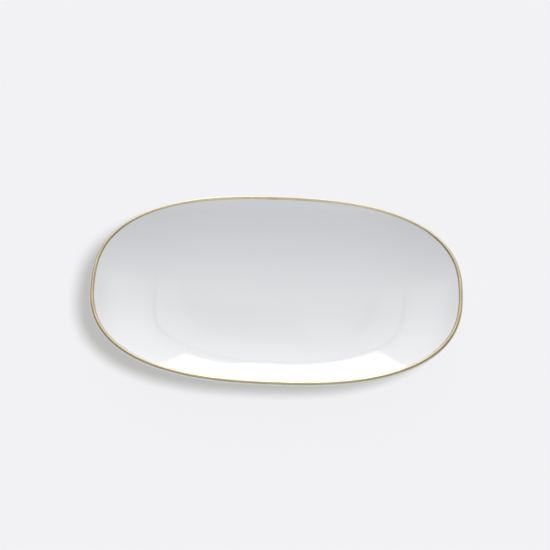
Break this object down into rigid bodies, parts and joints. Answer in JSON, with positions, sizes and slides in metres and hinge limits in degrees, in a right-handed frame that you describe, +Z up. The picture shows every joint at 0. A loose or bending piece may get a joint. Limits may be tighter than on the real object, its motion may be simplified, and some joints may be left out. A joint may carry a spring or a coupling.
{
  "type": "relish dish",
  "caption": "Shallow oblong relish dish in white glazed porcelain: one smooth bowl with a gold line round the rounded lip and a bare standing foot ring.",
  "frame": {"origin": "on the table, under the middle of the dish, in the plane of the foot ring's standing edge", "axes": "+X along the dish, +Y across it, +Z up out of its mouth"},
  "size_m": [0.23, 0.138, 0.0239],
  "materials": {
    "glazed_porcelain": "white porcelain under a clear, smooth, glossy glaze",
    "bare_porcelain": "matt unglazed porcelain, ground flat on its standing edge",
    "fired_gold": "hand-painted gold line, fired on and burnished to a soft shine"
  },
  "bodies": {
    "root": {"dish_body": "glazed_porcelain", "foot_ring": "bare_porcelain", "rim_gilding": "fired_gold"}
  },
  "joints": []
}
